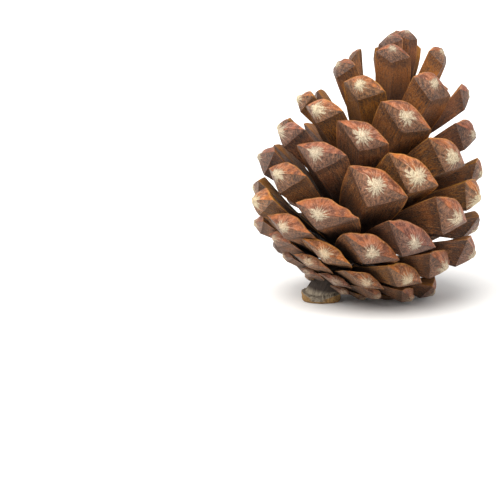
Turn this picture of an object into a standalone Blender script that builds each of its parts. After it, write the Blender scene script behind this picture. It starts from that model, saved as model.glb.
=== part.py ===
"""Open pine cone resting on its broken stalk and on the tips of its lowest scales (metres, +Z up)."""
import math

import bmesh
import bpy
import numpy as np

MM = 0.001
GOLDEN = 137.508            # degrees between one scale and the next
START_ANGLE = 0.2           # direction of scale 0, 0 = towards -Y

# The bent axis of the cone, a quadratic curve (mm): stalk end, middle handle, top.
AXIS_POINTS = ((-12.1, -0.5, 4.0), (5.1, 7.3, 40.0), (10.5, 20.1, 64.4))
AXIS_REACH = (-0.4, 1.5)    # how far the curve goes on past both ends, in shares of it
AXIS_POINTS_MEASURED = 381

# Scales are numbered upwards. The first and last ones are small, tight and grown to the core.
FIRST_SCALE = -40
FIRST_FREE_SCALE = -17
LAST_FREE_SCALE = 41
LAST_SCALE = 44

# What changes along the cone, given at these scale numbers (mm unless said otherwise).
STATIONS = (-40, -26, -13, 0, 14, 26, 36, 44)
BOSS_HEIGHT = (1.0, 6.1, 13.4, 27.8, 42.2, 56.2, 73.4, 83.5)      # boss, along the axis
BOSS_RADIUS = (7.4, 22.3, 31.8, 34.8, 33.0, 27.6, 17.0, 4.0)      # boss, from the axis
ROOT_HEIGHT = (1.2, 5.8, 10.8, 16.5, 26.5, 37.5, 49.5, 59.5)      # root, along the axis
HALF_WIDTH = (4.2, 7.0, 9.2, 9.5, 8.3, 7.1, 5.0, 3.4)             # corner to middle
TOP_AHEAD = (-0.3, -0.6, -1.6, -1.8, -1.2, -0.4, 0.6, 0.8)        # top edge, beyond the boss
TOP_UP = (1.3, 2.6, 5.0, 5.4, 5.1, 4.4, 3.3, 2.1)                 # top edge, above the boss
CORNER_BACK = (1.5, 2.4, 3.0, 3.2, 3.0, 2.6, 2.0, 1.4)            # side corners, behind the boss
CORNER_UP = (0.3, 0.9, 2.3, 3.0, 3.0, 2.3, 1.3, 0.6)              # side corners, above the boss
LIP_BACK = (1.5, 2.4, 4.0, 5.4, 3.9, 3.9, 3.5, 2.6)               # lower corner, behind the boss
LIP_DOWN = (0.8, 1.3, 2.5, 3.7, 2.3, 2.4, 2.3, 1.6)               # lower corner, below the boss
SAG = (0.02, 0.02, 0.01, -0.02, -0.03, -0.02, 0.01, 0.03)         # of the scale's length
NARROWING = (0.62, 0.62, 0.62, 0.58, 0.5, 0.4, 0.35, 0.35)        # small = wide down to the root
THINNING = (1.9, 1.9, 1.9, 1.6, 1.3, 1.15, 1.1, 1.1)              # small = thick down to the root
BELLY = 0.13                # how much wider the blade is behind its shield, of the half width

# Scales that stand aside from the pattern (mm): sideways, up and outward at the boss,
# then how much higher the left corner is than the middle line.
STRAY = {-21: (-2.2, 0, 0, 0.4), -18: (0, 1.4, 0, 0), -16: (-0.8, -0.6, 0, 0), -10: (0, 2.4, 0, 0),
         -8: (0, -1.3, 0, -0.9), -5: (-1.4, -2.0, 0, 0.5), -2: (0, 0, 2.4, 0), 0: (1.2, 2.3, 0, 1.5),
         3: (0, 0, 0, 0.8), 5: (0, 0, 0, -0.3), 6: (0, 0, 2.2, 0), 8: (0, 0, 0, 1.5), 13: (0, 0, 0, 1.2),
         16: (0, 0, 0, 0.8), 18: (0, 0, 0, 0.6), 21: (0, 0, 0, 1.9), 26: (0, 0, 0, 1.1),
         29: (-1.2, 1.4, 0, 1.0), 34: (-2.4, 0, 0, 0.5), 36: (0, 2.2, 0.8, 0), 39: (1.8, 1.6, 0, 0),
         42: (-1.6, 0, 0, 0)}
IN_PATTERN = (0, 0, 0, 0)

BELLY_CURVE = 27 / 4        # brings the top of t^2 (1 - t) to one
BULGE_CURVE = 4             # brings the top of t (1 - t) to one
HANDLE_REACH = 2            # a quadratic curve's handle lies twice as far out as its middle

SHIELD_BULGE = 0.3          # how far the shield swells between its edge and the boss
TOP_ROUND = 1.6             # 1 = straight edges up to the top, more = a rounder arch
LIP_ROUND = 1.1             # the same for the edges down to the lower corner

ROOT_HALF_WIDTH = 1.25      # the blade where it meets the core
ROOT_THICKNESS = 1.2
GAP = 0.3                   # clear space between a free root and the core
GROWN_DEPTH = 0.7           # how far the other roots reach into the core

CORE_SIDES = 14
CORE_RADIUS = (4.9, 4.4, 3.7, 3.2, 2.9, 2.4, 1.7, 0.9)
CORE_HEIGHTS = (3.0, 5.5, 8.5, 18.0, 32.0, 46.0, 55.0, 61.0)
FLOOR = 0.0                 # height of the flat faces it rests on

# The broken stalk, an oval foot under the core (mm): middle, then height and half widths of its rings.
STALK_MIDDLE = (-13.4, 1.4)
STALK_RINGS = ((0.0, 5.2, 3.9), (0.7, 5.9, 4.5), (2.0, 6.1, 4.6), (3.3, 5.4, 4.3))
STALK_TILT = 0.25           # the foot's upper face rises this much per mm to the back

BARK = ("old_stalk", (0.30, 0.18, 0.09), 0.85)
WOOD = ("scale_wood", (0.26, 0.11, 0.055), 0.6)

RIM = 12                    # points round a scale
BODY_STEPS = (0.0, 0.3, 0.65, 0.88, 1.0)    # from the root to the edge of the shield
SHIELD_STEP = 0.5           # from the edge of the shield to the boss


def clear_scene():
    for obj in list(bpy.data.objects):
        bpy.data.objects.remove(obj, do_unlink=True)


def along(number, values):
    """Smooth curve through the values at the stations."""
    x = np.array(STATIONS, float)
    y = np.array(values, float)
    slope = np.gradient(y, x)
    i = int(np.clip(np.searchsorted(x, number) - 1, 0, len(x) - 2))
    step = x[i + 1] - x[i]
    t = (number - x[i]) / step
    a = (2 * t ** 3 - 3 * t ** 2 + 1) * y[i] + (t ** 3 - 2 * t ** 2 + t) * step * slope[i]
    b = (3 * t ** 2 - 2 * t ** 3) * y[i + 1] + (t ** 3 - t ** 2) * step * slope[i + 1]
    return float(a + b)


def axis_table():
    start, middle, end = (np.array(p) for p in AXIS_POINTS)
    t = np.linspace(*AXIS_REACH, AXIS_POINTS_MEASURED)[:, None]
    points = (1 - t) ** 2 * start + 2 * t * (1 - t) * middle + t ** 2 * end
    tangents = 2 * (1 - t) * (middle - start) + 2 * t * (end - middle)
    tangents /= np.linalg.norm(tangents, axis=1, keepdims=True)
    lengths = np.concatenate([[0], np.cumsum(np.linalg.norm(np.diff(points, axis=0), axis=1))])
    lengths -= np.interp(0, t[:, 0], lengths)
    return lengths, points, tangents


AXIS_TABLE = axis_table()


def bend(x, y, h):
    """Place of a point given beside the straight axis: x and y across it, h along it (mm)."""
    lengths, points, tangents = AXIS_TABLE
    centre = np.array([np.interp(h, lengths, points[:, i]) for i in range(3)])
    axis = np.array([np.interp(h, lengths, tangents[:, i]) for i in range(3)])
    axis /= np.linalg.norm(axis)
    side = np.array([1.0, 0, 0]) - axis[0] * axis
    side /= np.linalg.norm(side)
    front = np.cross(side, axis)
    return centre + x * side + y * front


def core_radius(height):
    return float(np.interp(height, CORE_HEIGHTS, CORE_RADIUS))


class Scale:
    """The measures of one scale and the way from its own directions to the cone's."""

    def __init__(self, number):
        self.angle = math.radians(START_ANGLE + number * GOLDEN)
        self.top = (-along(number, TOP_AHEAD), along(number, TOP_UP))
        self.corner = (along(number, CORNER_BACK), along(number, CORNER_UP))
        self.lip = (along(number, LIP_BACK), -along(number, LIP_DOWN))
        self.half_width = along(number, HALF_WIDTH)
        self.narrowing = along(number, NARROWING)
        self.thinning = along(number, THINNING)
        height = along(number, ROOT_HEIGHT)
        free = FIRST_FREE_SCALE <= number <= LAST_FREE_SCALE
        offset = GAP + ROOT_THICKNESS / 2 if free else -GROWN_DEPTH
        self.root = np.array([core_radius(height) + offset, height])
        self.aside, self.raised, outward, self.roll = STRAY.get(number, IN_PATTERN)
        self.boss = np.array([along(number, BOSS_RADIUS) + outward, along(number, BOSS_HEIGHT)])
        line = self.boss - self.root
        self.length = float(np.linalg.norm(line))
        across = np.array([-line[1], line[0]]) / self.length
        sag = along(number, SAG) * self.length * HANDLE_REACH
        self.handle = (self.root + self.boss) / 2 - across * sag

    def place(self, back, up, side):
        """Point `back` from the boss along the middle line, `up` from it and `side` across."""
        t = 1 - back / self.length
        point = (1 - t) ** 2 * self.root + 2 * t * (1 - t) * self.handle + t ** 2 * self.boss
        way = 2 * (1 - t) * (self.handle - self.root) + 2 * t * (self.boss - self.handle)
        way /= np.linalg.norm(way)
        side += self.aside * t ** 2
        up += self.raised * t ** 2
        radius = point[0] - way[1] * up
        height = point[1] + way[0] * up
        x = radius * math.sin(self.angle) + side * math.cos(self.angle)
        y = radius * math.cos(self.angle) - side * math.sin(self.angle)
        return bend(x, y, height)


def rim_point(scale, angle):
    """Edge of the shield: back, up and side, going from the right corner over the top."""
    side = math.cos(angle)
    lift = math.sin(angle)
    if lift >= 0:
        share = 1 - abs(side) ** TOP_ROUND
        middle = scale.top
    else:
        share = 1 - abs(side) ** LIP_ROUND
        middle = scale.lip
    back = scale.corner[0] + (middle[0] - scale.corner[0]) * share
    up = scale.corner[1] + (middle[1] - scale.corner[1]) * share - scale.roll * side
    return back, up, side * scale.half_width


def body_point(scale, angle, t):
    back, up, side = rim_point(scale, angle)
    root_side = ROOT_HALF_WIDTH * math.cos(angle)
    root_up = ROOT_THICKNESS / 2 * math.sin(angle)
    belly = BELLY * BELLY_CURVE * t ** 2 * (1 - t)
    return (scale.length - t * (scale.length - back),
            root_up + (up - root_up) * t ** scale.thinning,
            root_side + (side - root_side) * (t ** scale.narrowing + belly))


def shield_point(scale, angle, t):
    """From the edge (t = 0) to the boss (t = 1)."""
    back, up, side = rim_point(scale, angle)
    bulge = SHIELD_BULGE * BULGE_CURVE * t * (1 - t)
    return back * (1 - t) - bulge, up * (1 - t), side * (1 - t)


def add_scale(bm, number):
    scale = Scale(number)
    angles = [2 * math.pi * i / RIM for i in range(RIM)]
    rings = [[body_point(scale, a, t) for a in angles] for t in BODY_STEPS]
    rings.append([shield_point(scale, a, SHIELD_STEP) for a in angles])
    rings = [[bm.verts.new(scale.place(*p) * MM) for p in ring] for ring in rings]
    tip = bm.verts.new(scale.place(0, 0, 0) * MM)
    bm.faces.new(rings[0][::-1])
    for low, high in zip(rings, rings[1:]):
        for i in range(RIM):
            j = (i + 1) % RIM
            bm.faces.new((low[i], low[j], high[j], high[i]))
    for i in range(RIM):
        bm.faces.new((rings[-1][i], rings[-1][(i + 1) % RIM], tip))


def finish(bm, name, material):
    bmesh.ops.triangulate(bm, faces=bm.faces[:])
    bmesh.ops.recalc_face_normals(bm, faces=bm.faces[:])
    mesh = bpy.data.meshes.new(name)
    bm.to_mesh(mesh)
    bm.free()
    mesh.materials.append(material)
    obj = bpy.data.objects.new(name, mesh)
    bpy.context.scene.collection.objects.link(obj)
    return obj


def principled(name, color, roughness):
    material = bpy.data.materials.new(name)
    material.use_nodes = True
    shader = material.node_tree.nodes["Principled BSDF"]
    shader.inputs["Base Color"].default_value = (*color, 1)
    shader.inputs["Roughness"].default_value = roughness
    return material


def skin(bm, rings):
    """Close a row of rings into one body."""
    bm.faces.new(rings[0][::-1])
    for low, high in zip(rings, rings[1:]):
        for i in range(len(low)):
            j = (i + 1) % len(low)
            bm.faces.new((low[i], low[j], high[j], high[i]))
    bm.faces.new(rings[-1])


def add_core(bm):
    """The core with the broken stalk under it."""
    angles = [2 * math.pi * i / CORE_SIDES for i in range(CORE_SIDES)]
    rings = []
    for height, half_x, half_y in STALK_RINGS:
        x = [STALK_MIDDLE[0] + half_x * math.sin(a) for a in angles]
        y = [STALK_MIDDLE[1] - half_y * math.cos(a) for a in angles]
        tilt = STALK_TILT * height / STALK_RINGS[-1][0]
        z = [height - tilt * half_y * math.cos(a) for a in angles]
        rings.append([bm.verts.new(np.array(p) * MM) for p in zip(x, y, z)])
    for height in CORE_HEIGHTS:
        radius = core_radius(height)
        ring = [bend(radius * math.sin(a), radius * math.cos(a), height) for a in angles]
        rings.append([bm.verts.new(p * MM) for p in ring])
    skin(bm, rings)


def union(target, others):
    """Grow the other bodies onto the target and drop them."""
    for other in others:
        modifier = target.modifiers.new(other.name, "BOOLEAN")
        modifier.operation = "UNION"
        modifier.solver = "EXACT"
        modifier.object = other
    grown = target.evaluated_get(bpy.context.evaluated_depsgraph_get())
    mesh = bpy.data.meshes.new_from_object(grown)
    target.modifiers.clear()
    target.data = mesh
    for other in others:
        bpy.data.objects.remove(other, do_unlink=True)


def scale_object(number, material):
    bm = bmesh.new()
    add_scale(bm, number)
    return finish(bm, f"scale_{number - FIRST_SCALE + 1:02d}", material)


def cut_flat(obj):
    """Take away what lies under the floor, leaving a flat face."""
    bm = bmesh.new()
    bm.from_mesh(obj.data)
    low = min(v.co.z for v in bm.verts)
    if low < FLOOR * MM:
        geometry = bm.verts[:] + bm.edges[:] + bm.faces[:]
        cut = bmesh.ops.bisect_plane(bm, geom=geometry, plane_co=(0, 0, FLOOR * MM), plane_no=(0, 0, -1),
                                     clear_outer=True)
        edges = [e for e in cut["geom_cut"] if isinstance(e, bmesh.types.BMEdge)]
        bmesh.ops.contextual_create(bm, geom=edges)
        bmesh.ops.triangulate(bm, faces=bm.faces[:])
        bm.to_mesh(obj.data)
    bm.free()


def centre(objects):
    """Bring the middle of the object's footprint over the origin."""
    corners = [v.co for obj in objects for v in obj.data.vertices]
    middle = [(min(c[i] for c in corners) + max(c[i] for c in corners)) / 2 for i in (0, 1)]
    for obj in objects:
        obj.location = (-middle[0], -middle[1], 0)


def build():
    clear_scene()
    wood = principled(*WOOD)
    bark = principled(*BARK)
    free = [scale_object(n, wood) for n in range(FIRST_FREE_SCALE, LAST_FREE_SCALE + 1)]
    bm = bmesh.new()
    add_core(bm)
    core = finish(bm, "core_with_base", bark)
    grown = [*range(FIRST_SCALE, FIRST_FREE_SCALE), *range(LAST_FREE_SCALE + 1, LAST_SCALE + 1)]
    union(core, [scale_object(n, wood) for n in grown])
    for obj in [core, *free]:
        cut_flat(obj)
    centre([core, *free])


build()
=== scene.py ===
import math

import bpy
import numpy as np
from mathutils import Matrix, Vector


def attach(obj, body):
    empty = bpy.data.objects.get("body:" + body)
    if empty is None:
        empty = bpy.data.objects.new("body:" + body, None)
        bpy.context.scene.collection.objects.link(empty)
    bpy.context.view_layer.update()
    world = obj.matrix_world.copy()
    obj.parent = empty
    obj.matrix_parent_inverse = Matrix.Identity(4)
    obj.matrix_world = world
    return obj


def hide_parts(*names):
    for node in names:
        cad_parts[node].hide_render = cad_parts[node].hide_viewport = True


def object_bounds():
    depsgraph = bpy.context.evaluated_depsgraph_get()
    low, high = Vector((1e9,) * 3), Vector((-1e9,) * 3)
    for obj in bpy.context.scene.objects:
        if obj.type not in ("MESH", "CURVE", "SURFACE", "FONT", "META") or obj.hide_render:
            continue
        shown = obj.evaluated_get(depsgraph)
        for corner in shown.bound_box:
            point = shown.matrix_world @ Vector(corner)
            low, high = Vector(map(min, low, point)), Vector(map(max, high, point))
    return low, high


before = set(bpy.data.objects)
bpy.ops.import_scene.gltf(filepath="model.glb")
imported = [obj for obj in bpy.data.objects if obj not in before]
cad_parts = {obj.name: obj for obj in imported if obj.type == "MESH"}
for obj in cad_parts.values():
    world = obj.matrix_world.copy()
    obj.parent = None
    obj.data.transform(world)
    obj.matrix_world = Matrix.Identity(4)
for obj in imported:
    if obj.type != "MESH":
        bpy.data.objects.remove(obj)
cadBox = [list(corner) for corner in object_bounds()]
print("frame loaded:", len(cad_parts), "solids")

mm = 0.001
bulgeCurve = 4              # brings the top of t (1 - t) to one
bellyCurve = 27 / 4         # brings the top of t^2 (1 - t) to one
handleReach = 2             # a quadratic curve's handle lies twice as far out as its middle

# how the cone grew: lengths in mm, one value for each station along the cone
growth = {
    "goldenAngle": 137.508,
    "startAngle": 0.2,
    "axisPoints": ((-12.1, -0.5, 4.0), (5.1, 7.3, 40.0), (10.5, 20.1, 64.4)),
    "axisReach": (-0.4, 1.5),               # the curve goes on past both ends, in shares of it
    "axisSteps": 381,
    "footprintMiddle": (0.442, 6.287),      # what stands over the frame's origin
    "firstScale": -40,
    "firstFree": -17,                       # scales before this one are grown to the core
    "lastFree": 41,
    "lastScale": 44,
    "stations": (-40, -26, -13, 0, 14, 26, 36, 44),
    "bossHeight": (1.0, 6.1, 13.4, 27.8, 42.2, 56.2, 73.4, 83.5),
    "bossRadius": (7.4, 22.3, 31.8, 34.8, 33.0, 27.6, 17.0, 4.0),
    "rootHeight": (1.2, 5.8, 10.8, 16.5, 26.5, 37.5, 49.5, 59.5),
    "halfWidth": (4.2, 7.0, 9.2, 9.5, 8.3, 7.1, 5.0, 3.4),
    "topAhead": (-0.3, -0.6, -1.6, -1.8, -1.2, -0.4, 0.6, 0.8),
    "topUp": (1.3, 2.6, 5.0, 5.4, 5.1, 4.4, 3.3, 2.1),
    "cornerBack": (1.5, 2.4, 3.0, 3.2, 3.0, 2.6, 2.0, 1.4),
    "cornerUp": (0.3, 0.9, 2.3, 3.0, 3.0, 2.3, 1.3, 0.6),
    "lipBack": (1.5, 2.4, 4.0, 5.4, 3.9, 3.9, 3.5, 2.6),
    "lipDown": (0.8, 1.3, 2.5, 3.7, 2.3, 2.4, 2.3, 1.6),
    "sag": (0.02, 0.02, 0.01, -0.02, -0.03, -0.02, 0.01, 0.03),
    "narrowing": (0.62, 0.62, 0.62, 0.58, 0.5, 0.4, 0.35, 0.35),
    "thinning": (1.9, 1.9, 1.9, 1.6, 1.3, 1.15, 1.1, 1.1),
    "belly": 0.13,                          # how much wider the blade is behind the shield
    # scales that stand aside from the pattern: aside, up, outward, left corner raised
    "stray": {-21: (-2.2, 0, 0, 0.4), -18: (0, 1.4, 0, 0), -16: (-0.8, -0.6, 0, 0), -10: (0, 2.4, 0, 0),
              -8: (0, -1.3, 0, -0.9), -5: (-1.4, -2.0, 0, 0.5), -2: (0, 0, 2.4, 0), 0: (1.2, 2.3, 0, 1.5),
              3: (0, 0, 0, 0.8), 5: (0, 0, 0, -0.3), 6: (0, 0, 2.2, 0), 8: (0, 0, 0, 1.5),
              13: (0, 0, 0, 1.2), 16: (0, 0, 0, 0.8), 18: (0, 0, 0, 0.6), 21: (0, 0, 0, 1.9),
              26: (0, 0, 0, 1.1), 29: (-1.2, 1.4, 0, 1.0), 34: (-2.4, 0, 0, 0.5), 36: (0, 2.2, 0.8, 0),
              39: (1.8, 1.6, 0, 0), 42: (-1.6, 0, 0, 0)},
    "coreHeights": (3.0, 5.5, 8.5, 18.0, 32.0, 46.0, 55.0, 61.0),
    "coreRadius": (4.9, 4.4, 3.7, 3.2, 2.9, 2.4, 1.7, 0.9),
}


def along(number, name):
    x = np.array(growth["stations"], float)
    y = np.array(growth[name], float)
    slope = np.gradient(y, x)
    i = int(np.clip(np.searchsorted(x, number) - 1, 0, len(x) - 2))
    step = x[i + 1] - x[i]
    t = (number - x[i]) / step
    before = (2 * t ** 3 - 3 * t ** 2 + 1) * y[i] + (t ** 3 - 2 * t ** 2 + t) * step * slope[i]
    after = (3 * t ** 2 - 2 * t ** 3) * y[i + 1] + (t ** 3 - t ** 2) * step * slope[i + 1]
    return float(before + after)


def axisTable():
    start, middle, end = (np.array(p) for p in growth["axisPoints"])
    t = np.linspace(*growth["axisReach"], growth["axisSteps"])[:, None]
    points = (1 - t) ** 2 * start + 2 * t * (1 - t) * middle + t ** 2 * end
    ways = 2 * (1 - t) * (middle - start) + 2 * t * (end - middle)
    ways /= np.linalg.norm(ways, axis=1, keepdims=True)
    lengths = np.concatenate([[0], np.cumsum(np.linalg.norm(np.diff(points, axis=0), axis=1))])
    return lengths - np.interp(0, t[:, 0], lengths), points, ways


axisLengths, axisCentres, axisWays = axisTable()


def bend(x, y, h):
    # from beside a straight axis to the leaning, bent cone, in metres
    centre = np.stack([np.interp(h, axisLengths, axisCentres[:, i]) for i in range(3)], -1)
    way = np.stack([np.interp(h, axisLengths, axisWays[:, i]) for i in range(3)], -1)
    way /= np.linalg.norm(way, axis=-1, keepdims=True)
    side = np.array([1.0, 0, 0]) - way[..., :1] * way
    side /= np.linalg.norm(side, axis=-1, keepdims=True)
    front = np.cross(side, way)
    place = centre + x[..., None] * side + y[..., None] * front
    place = (place - np.array([*growth["footprintMiddle"], 0])) * mm
    return np.clip(place, cadBox[0], cadBox[1])      # worn flat where it stands on the floor


def coreRadius(height):
    return np.interp(height, growth["coreHeights"], growth["coreRadius"])


def wobble(number, which):
    # a fixed number from -1 to 1 for each scale and purpose
    return math.sin(number * 12.9898 + which * 78.233) * math.cos(number * 4.1414 + which * 3.7)


def ripple(x, y, seed):
    # smooth uneven waves, about -1 to 1
    return (np.sin(x * 1.0 + seed * 5.1 + 1.3 * np.sin(y * 0.7 + seed))
            * np.cos(y * 1.1 + seed * 2.3 + 1.1 * np.sin(x * 0.9 + seed * 3)))


def smooth(low, high, value):
    t = np.clip((value - low) / (high - low), 0, 1)
    return t * t * (3 - 2 * t)


woodyScale = {
    "around": 48,                       # points round a scale
    "bodySteps": (0.0, 0.12, 0.24, 0.36, 0.48, 0.6, 0.7, 0.79, 0.87, 0.93, 0.97, 0.99, 1.0),
    "shieldSteps": (0.02, 0.06, 0.13, 0.22, 0.32, 0.42, 0.52, 0.61, 0.69, 0.76, 0.83, 0.89, 0.94, 0.98),
    "topRound": 1.6,
    "lipRound": 1.1,
    "rootHalfWidth": 1.25,
    "rootThickness": 1.2,
    "gap": 0.3,
    "grownDepth": 0.7,
    "bulge": 0.35,
    "bossRise": 0.55,
    "bossSize": 1.9,
    "wornTip": 0.35,
    "dimple": 0.22,                     # in the middle of the boss
    "hollow": 0.9,                      # of the upper face
    "unevenEdge": 0.24,
    "dents": 0.20,
    "flank": 0.55,                      # how hollow the underside is beside its ridge
}


class Scale:

    def __init__(self, number):
        g = growth
        w = woodyScale
        self.number = number
        self.seed = 0.5 + 0.5 * wobble(number, 1)
        self.angle = math.radians(g["startAngle"] + number * g["goldenAngle"])
        self.halfWidth = along(number, "halfWidth") * (1 + 0.05 * wobble(number, 2))
        self.top = (-along(number, "topAhead"), along(number, "topUp") * (1 + 0.08 * wobble(number, 3)))
        self.corner = (along(number, "cornerBack"), along(number, "cornerUp"))
        self.lip = (along(number, "lipBack"), -along(number, "lipDown"))
        self.stray = g["stray"].get(number, (0, 0, 0, 0))
        self.skew = 0.10 * wobble(number, 4)
        self.twist = 0.3 * wobble(number, 5) - self.stray[3]
        self.narrowing = along(number, "narrowing")
        self.thinning = along(number, "thinning")
        height = along(number, "rootHeight")
        free = g["firstFree"] <= number <= g["lastFree"]
        offset = w["gap"] + w["rootThickness"] / 2 if free else -w["grownDepth"]
        self.root = np.array([coreRadius(height) + offset, height])
        self.boss = np.array([along(number, "bossRadius") + self.stray[2], along(number, "bossHeight")])
        line = self.boss - self.root
        self.length = float(np.linalg.norm(line))
        across = np.array([-line[1], line[0]]) / self.length
        self.handle = (self.root + self.boss) / 2 - across * along(number, "sag") * self.length * handleReach

    def place(self, back, up, side):
        t = (1 - back / self.length)[..., None]
        point = (1 - t) ** 2 * self.root + 2 * t * (1 - t) * self.handle + t ** 2 * self.boss
        way = 2 * (1 - t) * (self.handle - self.root) + 2 * t * (self.boss - self.handle)
        way /= np.linalg.norm(way, axis=-1, keepdims=True)
        side = side + self.stray[0] * t[..., 0] ** 2
        up = up + self.stray[1] * t[..., 0] ** 2
        radius = point[..., 0] - way[..., 1] * up
        height = point[..., 1] + way[..., 0] * up
        x = radius * math.sin(self.angle) + side * math.cos(self.angle)
        y = radius * math.cos(self.angle) - side * math.sin(self.angle)
        return bend(x, y, height)

    def rim(self, angle):
        w = woodyScale
        side = np.cos(angle)
        over = np.sin(angle) >= 0
        share = np.where(over, 1 - np.abs(side) ** w["topRound"], 1 - np.abs(side) ** w["lipRound"])
        middleBack = np.where(over, self.top[0], self.lip[0])
        middleUp = np.where(over, self.top[1], self.lip[1])
        back = self.corner[0] + (middleBack - self.corner[0]) * share
        up = self.corner[1] + (middleUp - self.corner[1]) * share + self.twist * side
        uneven = w["unevenEdge"] * np.abs(np.sin(angle)) ** 0.5 * (
            ripple(angle * 3.2, angle * 2, self.seed * 9) + 0.6 * ripple(angle * 8, angle * 3, self.seed * 4))
        uneven = uneven * self.halfWidth / 9
        return back + 0.6 * uneven, up + 1.2 * uneven * over, side * self.halfWidth * (1 + self.skew * side)

    def bodyPoints(self, angle, t):
        w = woodyScale
        back, up, side = self.rim(angle)
        lift = np.sin(angle)
        across = np.cos(angle)
        rootSide = w["rootHalfWidth"] * across
        rootUp = w["rootThickness"] / 2 * lift
        hollow = w["hollow"] * np.where(lift > 0, (1 - across ** 2), 0) * math.sin(math.pi * t ** 1.5) ** 2
        hollow = hollow * min(1, self.top[1] / 4)
        flank = w["flank"] * self.lip[1] * np.where(lift < 0, 1 - np.abs(across), 0) ** 0.8
        flank = flank * (np.abs(across) ** 0.8) * (1 - t) ** 0.5 * t * bulgeCurve
        wave = 0.16 * ripple(side * 0.6, t * 5 + lift, self.seed * 7) * math.sin(math.pi * t)
        belly = growth["belly"] * bellyCurve * t ** 2 * (1 - t)
        return (self.length - t * (self.length - back),
                rootUp + (up - rootUp) * t ** self.thinning - hollow - flank + wave,
                rootSide + (side - rootSide) * (t ** self.narrowing + belly))

    def shieldPoints(self, angle, t):
        w = woodyScale
        back, up, side = self.rim(angle)
        worn = smooth(0.62, 1.0, t) * w["wornTip"]
        upNow = up * (1 - t)
        sideNow = side * (1 - t)
        reach = np.hypot(sideNow, np.hypot(upNow, back * (1 - t)))
        rise = w["bulge"] * bulgeCurve * t * (1 - t)
        boss = w["bossRise"] * (1 - smooth(0.45, 1.0, reach / w["bossSize"])) * min(1, self.halfWidth / 8)
        dimple = -w["dimple"] * (1 - smooth(0.1, 0.75, reach))
        wrinkle = 0.09 * np.sin(angle * 9 + self.seed * 20) + 0.05 * np.sin(angle * 15 + self.seed * 33)
        wrinkle = wrinkle * smooth(1.2, 2.5, reach) * smooth(0, 0.25, t)
        dent = w["dents"] * ripple(sideNow * 0.8, upNow * 0.9, self.seed * 6) * smooth(0.8, 2.5, reach)
        dent = dent * smooth(0, 0.2, t)
        ahead = rise + boss + dimple + wrinkle + dent - worn
        return back * (1 - t) - ahead, upNow, sideNow

    def rows(self):
        angle = np.linspace(0, 2 * math.pi, woodyScale["around"], endpoint=False)
        rows = []
        for t in woodyScale["bodySteps"]:
            back, up, side = self.bodyPoints(angle, t)
            rows.append((back, up, side, np.full_like(back, t), np.zeros_like(back)))
        for t in woodyScale["shieldSteps"]:
            back, up, side = self.shieldPoints(angle, t)
            rows.append((back, up, side, np.ones_like(back), np.full_like(back, t)))
        return angle, [np.stack(column) for column in zip(*rows)]


def addAttribute(mesh, name, values):
    layer = mesh.attributes.new(name, "FLOAT_VECTOR", "POINT")
    layer.data.foreach_set("vector", np.ascontiguousarray(values, np.float32).ravel())


def gridFaces(rowCount, around, tip=None):
    faces = []
    for r in range(rowCount - 1):
        for i in range(around):
            j = (i + 1) % around
            faces.append((r * around + i, r * around + j, (r + 1) * around + j, (r + 1) * around + i))
    faces.append(tuple(range(around))[::-1])
    if tip is not None:
        last = (rowCount - 1) * around
        faces += [(last + i, last + (i + 1) % around, tip) for i in range(around)]
    return faces


def makeScale(number, material):
    scale = Scale(number)
    angle, (back, up, side, bodyT, shieldT) = scale.rows()
    rowCount, around = back.shape
    points = scale.place(back, up, side).reshape(-1, 3)
    tipUp = np.zeros(1)
    tip = scale.place(tipUp - woodyScale["bossRise"] * min(1, scale.halfWidth / 8) + 0.5, tipUp, tipUp)
    points = np.concatenate([points, tip])
    mesh = bpy.data.meshes.new(f"woodyScale{number + 1 - growth['firstScale']:02d}")
    mesh.from_pydata(points.tolist(), [], gridFaces(rowCount, around, len(points) - 1))
    onShield = shieldT > 0
    rimBack, rimUp, rimSide = scale.rim(angle)
    upward = np.sign(np.sin(angle) + 1e-6)
    height = np.where(onShield, np.hypot(up, back) * upward, 30.0)
    spot = np.stack([side, height, np.full_like(side, scale.seed * 10)], -1)
    grain = np.stack([side, back, np.where(np.sin(angle) > 1e-6, 0.0, 1.0) * np.ones_like(side)], -1)
    span = np.hypot(rimSide, np.hypot(rimUp, rimBack))
    rimDistance = np.where(onShield, shieldT * span, (1 - bodyT) * scale.length)
    flank = (1 - np.abs(np.cos(angle))) * np.abs(side).max(1, keepdims=True)
    topEdge = np.where(upward > 0, rimDistance, 20)
    edgeDistance = np.where(onShield, topEdge, np.minimum(topEdge, flank * 1.6))
    masks = np.stack([onShield * 1.0, edgeDistance, bodyT], -1)
    end = lambda values, last: np.concatenate([values.reshape(-1, 3), [last]])
    addAttribute(mesh, "spot", end(spot, (0, 0, scale.seed * 10)))
    addAttribute(mesh, "grain", end(grain, (0, 0, 0.5)))
    addAttribute(mesh, "masks", end(masks, (1, 5, 1)))
    share = (number - growth["firstScale"]) / (growth["lastScale"] - growth["firstScale"])
    own = (share, 0.5 + 0.5 * wobble(number, 8), 0.5 + 0.5 * wobble(number, 9))
    addAttribute(mesh, "own", np.tile(own, (len(points), 1)))
    mesh.shade_smooth()
    mesh.set_sharp_from_angle(angle=math.radians(48))
    mesh.materials.append(material)
    piece = bpy.data.objects.new(mesh.name, mesh)
    bpy.context.scene.collection.objects.link(piece)
    return piece


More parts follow.
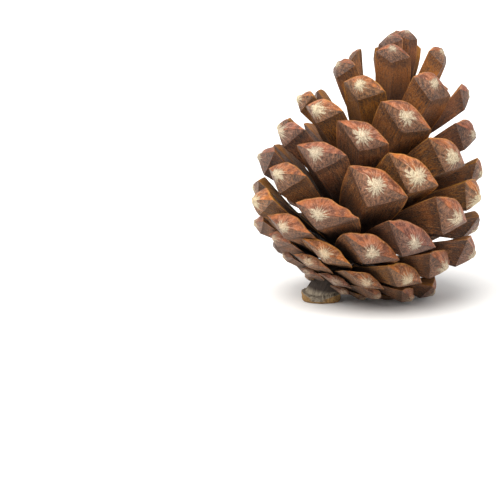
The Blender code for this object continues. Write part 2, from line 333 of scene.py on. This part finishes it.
class Wire:
    # a shader socket that takes part in Python sums

    def __init__(self, kit, socket):
        self.kit = kit
        self.socket = socket

    def sum(self, operation, first, second=0.0):
        return self.kit.node("ShaderNodeMath", {"operation": operation}, {0: first, 1: second})

    def __add__(self, other):
        return self.sum("ADD", self, other)

    __radd__ = __add__

    def __sub__(self, other):
        return self.sum("SUBTRACT", self, other)

    def __rsub__(self, other):
        return self.sum("SUBTRACT", other, self)

    def __mul__(self, other):
        return self.sum("MULTIPLY", self, other)

    __rmul__ = __mul__

    def __pow__(self, other):
        return self.sum("POWER", self, other)

    def to(self, low, high, start=0.0, end=1.0):
        # smooth step from low to high
        return self.kit.node("ShaderNodeMapRange", {"interpolation_type": "SMOOTHSTEP"},
                             {0: self, 1: low, 2: high, 3: start, 4: end})


class Finish:
    # one material and the ways to make its nodes

    def __init__(self, name):
        self.material = bpy.data.materials.new(name)
        self.material.use_nodes = True
        self.tree = self.material.node_tree
        self.shader = self.tree.nodes["Principled BSDF"]

    def node(self, kind, settings=None, sockets=None, out=0):
        made = self.tree.nodes.new(kind)
        for key, value in (settings or {}).items():
            setattr(made, key, value)
        for key, value in (sockets or {}).items():
            self.feed(made.inputs[key], value)
        return Wire(self, made.outputs[out])

    def feed(self, socket, value):
        if isinstance(value, Wire):
            self.tree.links.new(value.socket, socket)
        elif isinstance(value, tuple) and socket.type == "RGBA":
            socket.default_value = (*value, 1)
        else:
            socket.default_value = value

    def layer(self, name):
        # the three numbers of a mesh attribute
        found = self.node("ShaderNodeAttribute", {"attribute_name": name}, out=1)
        parts = self.node("ShaderNodeSeparateXYZ", {}, {0: found})
        outs = parts.socket.node.outputs
        return [Wire(self, outs[i]) for i in range(3)]

    def vector(self, x, y, z):
        return self.node("ShaderNodeCombineXYZ", {}, {0: x, 1: y, 2: z})

    def noise(self, where, size, detail=2.0, rough=0.5):
        return self.node("ShaderNodeTexNoise", {}, {"Vector": where, "Scale": size, "Detail": detail,
                                                    "Roughness": rough})

    def mix(self, share, first, second, way="MIX"):
        return self.node("ShaderNodeMix", {"data_type": "RGBA", "blend_type": way},
                         {0: share, 6: first, 7: second}, out=2)

    def set(self, **sockets):
        for name, value in sockets.items():
            self.feed(self.shader.inputs[name.replace("_", " ")], value)
        return self.material


scaleColours = {
    "shieldDark": (0.090, 0.026, 0.012),
    "shield": (0.330, 0.125, 0.064),
    "shieldLight": (0.560, 0.310, 0.215),
    "star": (0.650, 0.565, 0.420),
    # the lower facet's colours: its own darker brown, made darker with painted shade because it faces down
    "lower": (0.040, 0.018, 0.010),
    "lowerLight": (0.230, 0.115, 0.066),
    "margin": (0.300, 0.100, 0.028),
    # pale margin colour: partly the real edge tone, partly a painted highlight on the top edges
    "paleMarginAndHighlight": (0.520, 0.265, 0.115),
    # the underside's own dark brown, made darker still as painted shade
    "under": (0.022, 0.008, 0.004),
    "underLight": (0.290, 0.122, 0.050),
    "underRed": (0.200, 0.066, 0.022),
    # painted shade, laid on near the root and in the crease under the shield
    "paintedShade": (0.008, 0.003, 0.0015),
    "fleck": (0.560, 0.350, 0.210),
    "golden": (0.340, 0.135, 0.048),
    "inside": (0.150, 0.055, 0.016),
    "insideLight": (0.360, 0.170, 0.055),
    "oldDark": (0.050, 0.030, 0.020),
    "oldLight": (0.300, 0.210, 0.150),
}


def makeScaleWood():
    c = scaleColours
    f = Finish("scaleWood")
    x, y, seed = f.layer("spot")
    side, back, under = f.layer("grain")
    onShield, edge, body = f.layer("masks")
    age, tone, warmth = f.layer("own")

    reach = (x * x * 0.62 + y * y) ** 0.5
    turn = f.node("ShaderNodeMath", {"operation": "ARCTAN2"}, {0: y, 1: x})
    cosTurn = f.node("ShaderNodeMath", {"operation": "COSINE"}, {0: turn})
    sinTurn = f.node("ShaderNodeMath", {"operation": "SINE"}, {0: turn})
    rays = f.noise(f.vector(cosTurn, sinTurn, seed), 3.5, 3.0, 0.6)
    fineRays = f.noise(f.vector(cosTurn, sinTurn, seed + reach * 0.05), 9.0, 4.0, 0.7)
    flat = f.vector(x, y, seed)
    blotch = f.noise(flat, 0.45, 3.0, 0.55)
    speck = f.noise(flat, 2.0, 4.0, 0.7)
    grit = f.noise(flat, 6.0, 2.0, 0.7)

    # the worn star round the boss
    starSize = (1.0 - age.to(0.42, 0.12) * 0.45 - age.to(0.62, 0.95) * 0.62) * (0.8 + tone * 0.35)
    starEdge = (rays * 3.6 + fineRays * 9.0 - 3.9) * starSize
    star = (starEdge - reach).to(-0.3, 0.5) * onShield.to(0.4, 0.9)
    star = star * (0.2 + 0.8 * grit.to(0.38, 0.52)) * (1.0 - age.to(0.42, 0.1) * 0.35)
    haze = (starEdge * 1.6 - reach).to(-1.0, 1.5) * 0.45

    upper = f.mix(blotch.to(0.34, 0.62), c["shieldDark"], c["shield"])
    upper = f.mix(speck.to(0.5, 0.72) * 0.75, upper, c["shieldLight"])
    upper = f.mix(fineRays.to(0.5, 0.36) * reach.to(1.0, 3.0) * 0.75, upper, c["shieldDark"])
    upper = f.mix(haze * fineRays.to(0.4, 0.62), upper, c["shieldLight"])
    sides = f.node("ShaderNodeMath", {"operation": "ABSOLUTE"}, {0: x})
    upper = f.mix(sides.to(3.8, 8.0) * blotch.to(0.35, 0.6) * 0.4, upper, c["margin"])
    # the lower facet below the keel: its own brown darkened with painted shade
    lower = f.mix(speck.to(0.42, 0.66), c["lower"], c["lowerLight"])
    lower = f.mix(haze * 0.6, lower, c["shieldLight"])
    shieldColour = f.mix(y.to(0.12, -0.3), upper, lower)
    keel = f.node("ShaderNodeMath", {"operation": "ABSOLUTE"}, {0: y}).to(0.4, 0.05)
    shieldColour = f.mix(keel * (fineRays * 0.7 + 0.1), shieldColour, c["shieldLight"])
    broken = f.noise(f.vector(x * 0.5, side * 0.3 + back * 0.35, seed + 2.0), 1.0, 3.0, 0.6).to(0.36, 0.62)
    # pale top edge of the shield: partly real margin tone, partly a painted highlight
    shieldColour = f.mix(edge.to(0.8, 0.1) * (0.25 + broken * 0.75) * (speck * 0.8 + 0.2),
                         shieldColour, c["paleMarginAndHighlight"])
    flecks = f.noise(flat, 9.0, 3.0, 0.8).to(0.56, 0.68)
    shieldColour = f.mix(flecks * 0.45, shieldColour, c["fleck"])
    shieldColour = f.mix(star, shieldColour, c["star"])

    lines = f.noise(f.vector(side * 2.6, back * 0.16, seed), 1.0, 4.0, 0.6)
    fuzz = f.noise(f.vector(side * 3.0, back * 1.2, seed + 4.0), 1.0, 4.0, 0.72)
    tint = f.noise(f.vector(side * 0.3, back * 0.2, seed + 8.0), 1.0, 2.0, 0.5)
    strand = (lines * 0.45 + fuzz * 0.65)
    # the underside: real dark brown with strands, darkened as painted shade
    underColour = f.mix(strand.to(0.42, 0.72), c["under"], c["underLight"])
    underColour = f.mix(tint.to(0.48, 0.7) * 0.4, underColour, c["underRed"])
    underColour = f.mix(edge.to(2.0, 0.3) * tint.to(0.35, 0.6) * 0.45, underColour, c["margin"])
    hairs = f.noise(f.vector(side * 6.0, back * 3.0, seed + 11.0), 1.0, 3.0, 0.85).to(0.53, 0.64)
    underColour = f.mix(hairs * 0.6, underColour, c["fleck"])
    underColour = f.mix(age.to(0.6, 0.9) * strand.to(0.35, 0.6) * 0.5, underColour, c["golden"])
    # painted shade: the underside darkens towards the root, where the scales crowd, and in a thin dark band
    # at the crease under the shield
    underColour = f.mix(body.to(0.98, 0.4) * 0.85, underColour, c["paintedShade"])
    creaseShade = body.to(0.87, 0.965) * (1.0 - fuzz.to(0.45, 0.7) * 0.55)
    underColour = f.mix(creaseShade * 0.6, underColour, c["paintedShade"])
    insideColour = f.mix(strand.to(0.4, 0.7), c["inside"], c["insideLight"])
    # painted shade: the upper face also darkens towards the root
    insideColour = f.mix(body.to(0.95, 0.45) * 0.85, insideColour, c["paintedShade"])
    bodyColour = f.mix(under, insideColour, underColour)
    # pale body edges: partly real margin tone, partly a painted highlight
    bodyColour = f.mix(edge.to(0.5, 0.08) * (0.15 + broken * 0.75) * (fuzz * 0.9 + 0.2),
                       bodyColour, c["paleMarginAndHighlight"])
    colour = f.mix(onShield.to(0.3, 0.8), bodyColour, shieldColour)
    grey = f.mix(speck.to(0.3, 0.7), c["oldDark"], c["oldLight"])
    colour = f.mix(age.to(0.34, 0.05) * 0.28, colour, grey)
    shade = f.node("ShaderNodeHueSaturation", {}, {"Hue": 0.492 + warmth * 0.014,
                                                   "Saturation": 1.10 + warmth * 0.14,
                                                   "Value": (0.80 + tone * 0.42) * (0.72 + grit * 0.56),
                                                   "Color": colour})

    shieldRelief = fineRays * 0.55 * reach.to(0.5, 2.5) + speck * 0.26 + rays * 0.2 + star * 0.14
    bodyRelief = lines * 0.46 + fuzz * 0.44
    relief = f.node("ShaderNodeMix", {"data_type": "FLOAT"}, {0: onShield, 2: bodyRelief, 3: shieldRelief})
    bump = f.node("ShaderNodeBump", {}, {"Strength": 1.0, "Distance": 0.001, "Height": relief})
    roughness = 0.66 - onShield * 0.2 + star * 0.3 + speck * 0.2 - fineRays * 0.1
    return f.set(Base_Color=shade, Roughness=roughness, Normal=bump)


coreColours = {
    "barkDark": (0.120, 0.055, 0.018),
    "bark": (0.420, 0.240, 0.075),
    "fibreDark": (0.070, 0.050, 0.034),
    "fibre": (0.360, 0.300, 0.220),
    # painted shade for the core where it lies under the scales
    "hollow": (0.030, 0.018, 0.011),
}


def makeCoreWood():
    c = coreColours
    f = Finish("coreWood")
    around, height, zone = f.layer("grain")
    lines = f.noise(f.vector(around * 1.6, height * 0.5, 0.0), 1.0, 4.0, 0.65)
    grit = f.noise(f.vector(around * 1.8, height * 2.2, 3.0), 1.0, 4.0, 0.7)
    bark = f.mix((lines * 0.5 + grit * 0.6).to(0.38, 0.68), c["barkDark"], c["bark"])
    fibre = f.mix((lines * 0.6 + grit * 0.5).to(0.4, 0.66), c["fibreDark"], c["fibre"])
    colour = f.mix((zone + grit * 0.5).to(0.75, 1.1), bark, fibre)
    # zone 2 and over is painted shade: the core under the scales turns near black
    colour = f.mix(zone.to(1.25, 1.55), colour, c["hollow"])
    bump = f.node("ShaderNodeBump", {}, {"Strength": 1.0, "Distance": 0.001,
                                         "Height": lines * 0.5 + grit * 0.5})
    return f.set(Base_Color=colour, Roughness=grit * 0.2 + 0.7, Normal=bump)


stalk = {
    "around": 84,
    "middle": (-13.4, 1.4),
    # height and half widths of the rings, then bark (0), broken face (1) or pith (1.2); zone 2 and over is
    # the painted shade colour
    "rings": ((0.0, 4.9, 3.6, 0.0), (0.0, 5.3, 4.0, 0.0), (0.5, 5.75, 4.35, 0.0), (1.1, 5.9, 4.5, 0.0),
              (1.8, 5.8, 4.4, 0.0), (2.4, 6.0, 4.5, 0.1), (2.8, 5.95, 4.45, 0.4), (3.0, 5.75, 4.3, 1.0),
              (2.9, 5.5, 4.15, 1.0), (3.05, 5.2, 3.95, 1.0), (3.0, 4.9, 3.8, 1.0), (3.3, 4.6, 3.6, 1.2)),
    "tilt": 0.25,
    "wornFront": 0.9,                   # how much of the bark is gone at the front
    "coreRows": 60,
    "darkBelow": 14,                    # the core is painted dark, as shade under the scales, up to this height
}


def makeCore(material):
    s = stalk
    angle = np.linspace(0, 2 * math.pi, s["around"], endpoint=False)
    rows = []
    marks = []
    ragged = 0.22 * ripple(angle * 9, angle * 4, 1.7) + 0.14 * ripple(angle * 21, angle * 9, 0.4)
    top = s["rings"][-1][0]
    for height, halfX, halfY, zone in s["rings"]:
        share = height / top
        rough = ragged * (0.3 + share)
        x = s["middle"][0] + (halfX + rough) * np.sin(angle) - growth["footprintMiddle"][0]
        y = s["middle"][1] - (halfY + rough) * np.cos(angle) - growth["footprintMiddle"][1]
        z = height - s["tilt"] * halfY * np.cos(angle) * share + ragged * share * 0.9
        rows.append(np.stack([x, y, np.maximum(z, 0)], -1) * mm)
        worn = s["wornFront"] * np.maximum(np.cos(angle + 0.25), 0) ** 4 * (0.8 < height < top)
        zones = np.minimum(zone + worn, 1.0 + zone / 6)
        marks.append(np.stack([angle * halfX, height + 0 * angle, zones], -1))
    for height in np.linspace(growth["coreHeights"][0], growth["coreHeights"][-1], s["coreRows"]):
        bumpy = coreRadius(height) + 0.15 * ripple(angle * 5, height * 0.8 + angle * 0, 2.0)
        rows.append(bend(bumpy * np.sin(angle), bumpy * np.cos(angle), height + 0 * angle))
        # rows below darkBelow get zone 2.2, the painted shade colour
        marks.append(np.stack([angle * coreRadius(height), height + 0 * angle,
                               (2.2 if height < s["darkBelow"] else 0.2) + 0 * angle], -1))
    points = np.concatenate(rows)
    marks = np.concatenate(marks)
    around = s["around"]
    last = len(rows) - 1
    faces = []
    for r in range(last):
        for i in range(around):
            j = (i + 1) % around
            faces.append((r * around + i, r * around + j, (r + 1) * around + j, (r + 1) * around + i))
    faces.append(tuple(range(around))[::-1])
    faces.append(tuple(range(last * around, (last + 1) * around)))
    mesh = bpy.data.meshes.new("coreAndStalk")
    mesh.from_pydata(points.tolist(), [], faces)
    addAttribute(mesh, "grain", marks)
    mesh.shade_smooth()
    mesh.set_sharp_from_angle(angle=math.radians(50))
    mesh.materials.append(material)
    piece = bpy.data.objects.new("coreAndStalk", mesh)
    bpy.context.scene.collection.objects.link(piece)
    return piece


scaleWood = makeScaleWood()
coreWood = makeCoreWood()
core = makeCore(coreWood)
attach(core, "root")
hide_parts("core_with_base")
for number in range(growth["firstScale"], growth["lastScale"] + 1):
    piece = makeScale(number, scaleWood)
    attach(piece, "root")
    if growth["firstFree"] <= number <= growth["lastFree"]:
        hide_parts(f"scale_{number + 1 - growth['firstScale']:02d}")
print("scales made")


studio = {
    "target": (-35.44, -6.29, 16.0),        # what the camera aims at, mm
    "elevation": 12.0,
    "distance": 0.55,
    "lens": 132.0,
    "floorColour": (0.82, 0.82, 0.82),
    "floorSpots": (0.84, 0.84, 0.835),
    "floorHalf": 4.0,                       # metres
    "sunColour": (1.0, 0.97, 0.92),
    "worldStrength": 0.86,
    "sunStrength": 4.3,
    "sunPlace": (-0.36, -0.46, 1.10),
    "sunAngle": 64.0,
}


def makeStudio():
    s = studio
    tilt = math.radians(s["elevation"])
    target = Vector(s["target"]) * mm
    lens = bpy.data.cameras.new("camera")
    lens.sensor_width = 36
    lens.lens = s["lens"]
    lens.clip_start = 0.01
    camera = bpy.data.objects.new("camera", lens)
    camera.location = target + Vector((0, -math.cos(tilt), math.sin(tilt))) * s["distance"]
    camera.rotation_euler = (math.pi / 2 - tilt, 0, 0)
    bpy.context.scene.collection.objects.link(camera)
    bpy.context.scene.camera = camera

    paper = Finish("floorPaper")
    spots = paper.noise(paper.node("ShaderNodeTexCoord", {}, {}, out=3), 40.0, 3.0, 0.5)
    paper.set(Base_Color=paper.mix(spots.to(0.3, 0.7) * 0.3, s["floorColour"], s["floorSpots"]),
              Roughness=0.8)
    mesh = bpy.data.meshes.new("floor")
    half = s["floorHalf"]
    corners = [(-half, -half, 0), (half, -half, 0), (half, half, 0), (-half, half, 0)]
    mesh.from_pydata(corners, [], [(0, 1, 2, 3)])
    mesh.materials.append(paper.material)
    floor = bpy.data.objects.new("floor", mesh)
    bpy.context.scene.collection.objects.link(floor)

    world = bpy.data.worlds.new("studioWorld")
    world.use_nodes = True
    sky = world.node_tree.nodes["Background"]
    sky.inputs["Color"].default_value = (1.0, 1.0, 1.0, 1)
    sky.inputs["Strength"].default_value = s["worldStrength"]
    bpy.context.scene.world = world

    light = bpy.data.lights.new("sun", "SUN")
    light.angle = math.radians(s["sunAngle"])
    light.energy = s["sunStrength"]
    light.color = s["sunColour"]
    sun = bpy.data.objects.new("sun", light)
    sun.rotation_euler = Vector(s["sunPlace"]).to_track_quat("Z", "Y").to_euler()
    bpy.context.scene.collection.objects.link(sun)
    bpy.context.scene.view_settings.view_transform = "Standard"


makeStudio()
print("studio made")
